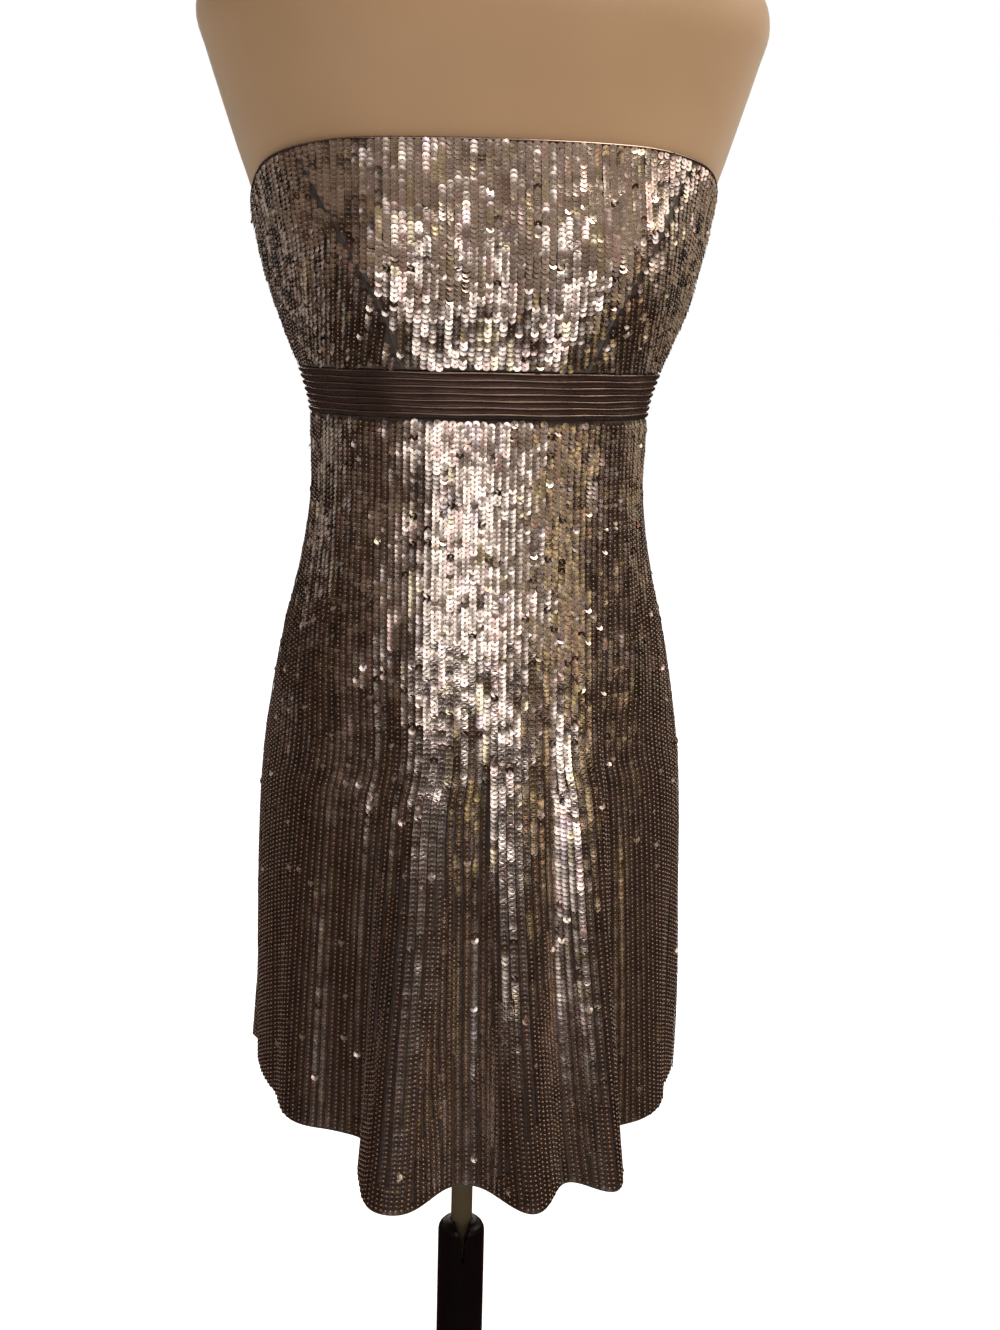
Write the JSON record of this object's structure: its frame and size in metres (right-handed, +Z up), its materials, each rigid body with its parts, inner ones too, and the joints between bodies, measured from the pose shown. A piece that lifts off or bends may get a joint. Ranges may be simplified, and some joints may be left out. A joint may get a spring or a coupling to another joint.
{
  "type": "cocktail dress on a limbless dress form with a pole stand",
  "caption": "Short strapless dress in sequinned cloth with a pintucked satin band, worn by a limbless dress form on a height-adjustable pole stand.",
  "frame": {"origin": "on the floor, at the centre of the base's underside, straight below the pole", "axes": "+Z up along the pole; the dress faces -Y; +X is the wearer's left side"},
  "size_m": [0.3824, 0.372, 1.534],
  "materials": {
    "sequin_cloth": "gloss",
    "satin_band": "satin",
    "form_jersey": "matte",
    "pole_beige": "satin",
    "stand_black": "satin",
    "zip_metal": "gloss"
  },
  "bodies": {
    "stand": {"base": "stand_black", "mast_tube": "stand_black"},
    "mast": {"pole": "pole_beige"},
    "form": {"dress_form": "form_jersey", "form_flange": "stand_black", "bodice_front": "sequin_cloth", "bodice_side_front_left": "sequin_cloth", "bodice_side_front_right": "sequin_cloth", "bodice_back_left": "sequin_cloth", "bodice_back_right": "sequin_cloth", "band_front": "satin_band", "band_back_left": "satin_band", "band_back_right": "satin_band", "skirt_front": "sequin_cloth", "skirt_back_left": "sequin_cloth", "skirt_back_right": "sequin_cloth", "zip_slider": "zip_metal"},
    "zip_pull": {"zip_pull": "zip_metal"}
  },
  "joints": [
    {"name": "mast_height", "type": "slide", "parent": "stand", "child": "mast", "axis": [0, 0, 1], "range_m": [-0.18, 0.2]},
    {"name": "form_turn", "type": "hinge", "parent": "mast", "child": "form", "pos_m": [0, 0, 0.7694], "axis": [0, 0, 1], "continuous": true},
    {"name": "zip_pull_swing", "type": "hinge", "parent": "form", "child": "zip_pull", "pos_m": [0, 0.10249, 1.2325], "axis": [1, 0, 0], "range_deg": [0, 150]}
  ]
}
